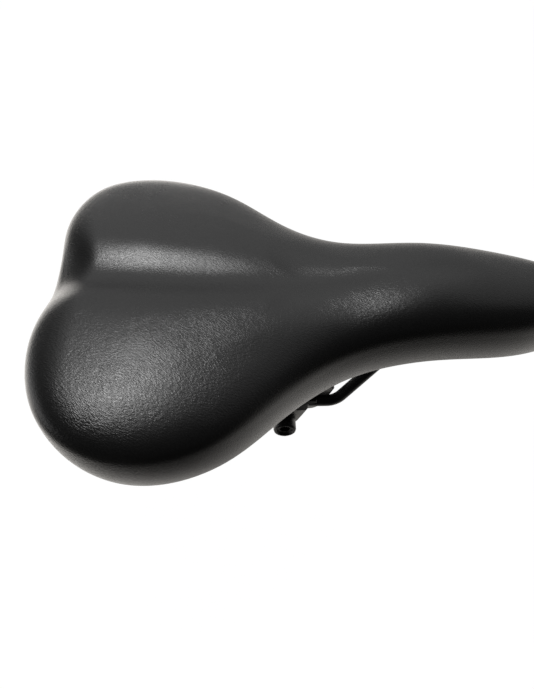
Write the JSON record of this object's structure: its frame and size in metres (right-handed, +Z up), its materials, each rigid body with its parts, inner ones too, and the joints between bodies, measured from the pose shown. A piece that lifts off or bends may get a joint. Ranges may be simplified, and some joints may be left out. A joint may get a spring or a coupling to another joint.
{
  "type": "bicycle saddle",
  "caption": "Padded bicycle saddle with two wide rear lobes and a slim nose, on steel rails held in a toothed two-plate seat post clamp.",
  "frame": {"origin": "bottom centre of the whole object's box: on the plane of symmetry, midway along the length, level with the lowest edge of the seat post clamp", "axes": "+X towards the nose, +Y to the rider's left, +Z up; XZ is the plane of symmetry"},
  "size_m": [0.286, 0.2018, 0.1148],
  "materials": {
    "leatherette": "grained black synthetic leather, semi-gloss",
    "foam": "open-cell foam",
    "base_plastic": "moulded black plastic",
    "black_steel": "satin black",
    "grey_steel": "dull grey plating",
    "staple_steel": "bright wire",
    "black_oxide": "black oxide"
  },
  "bodies": {
    "post_clamp": {"post_band": "grey_steel"},
    "clamp_carrier": {"inner_plate_left": "grey_steel", "inner_plate_right": "grey_steel"},
    "outer_left": {"outer_plate_left": "grey_steel", "clamp_nut": "black_oxide"},
    "outer_right": {"outer_plate_right": "grey_steel", "washer": "black_oxide"},
    "bolt": {"clamp_bolt": "black_oxide"},
    "saddle": {"cover": "leatherette", "foam_pad": "foam", "base_shell": "base_plastic", "rail_left": "black_steel", "rail_right": "black_steel", "staple_01": "staple_steel", "staple_02": "staple_steel", "staple_03": "staple_steel", "staple_04": "staple_steel", "staple_05": "staple_steel", "staple_06": "staple_steel", "staple_07": "staple_steel", "staple_08": "staple_steel", "staple_09": "staple_steel", "staple_10": "staple_steel", "staple_11": "staple_steel", "staple_12": "staple_steel", "staple_13": "staple_steel", "staple_14": "staple_steel", "staple_15": "staple_steel", "staple_16": "staple_steel", "staple_17": "staple_steel", "staple_18": "staple_steel", "staple_19": "staple_steel", "staple_20": "staple_steel"}
  },
  "joints": [
    {"name": "saddle_tilt", "type": "hinge", "parent": "post_clamp", "child": "clamp_carrier", "pos_m": [-0.019, 0, 0.013], "axis": [0, 1, 0], "range_deg": [-15, 20]},
    {"name": "saddle_slide", "type": "slide", "parent": "clamp_carrier", "child": "saddle", "axis": [1, 0, 0], "range_m": [0, 0.012]},
    {"name": "bolt_turn", "type": "hinge", "parent": "outer_right", "child": "bolt", "pos_m": [-0.019, 0, 0.013], "axis": [0, -1, 0], "range_deg": [0, 1080]},
    {"name": "outer_right_open", "type": "slide", "parent": "clamp_carrier", "child": "outer_right", "axis": [0, -1, 0], "range_m": [0, 0.00187]},
    {"name": "outer_left_open", "type": "slide", "parent": "clamp_carrier", "child": "outer_left", "axis": [0, 1, 0], "range_m": [0, 0.00187]}
  ],
  "couplings": [
    {"joint": "bolt_turn", "follows": "outer_right_open", "rad_per_m": 10053},
    {"joint": "outer_left_open", "follows": "outer_right_open", "ratio": 1}
  ]
}
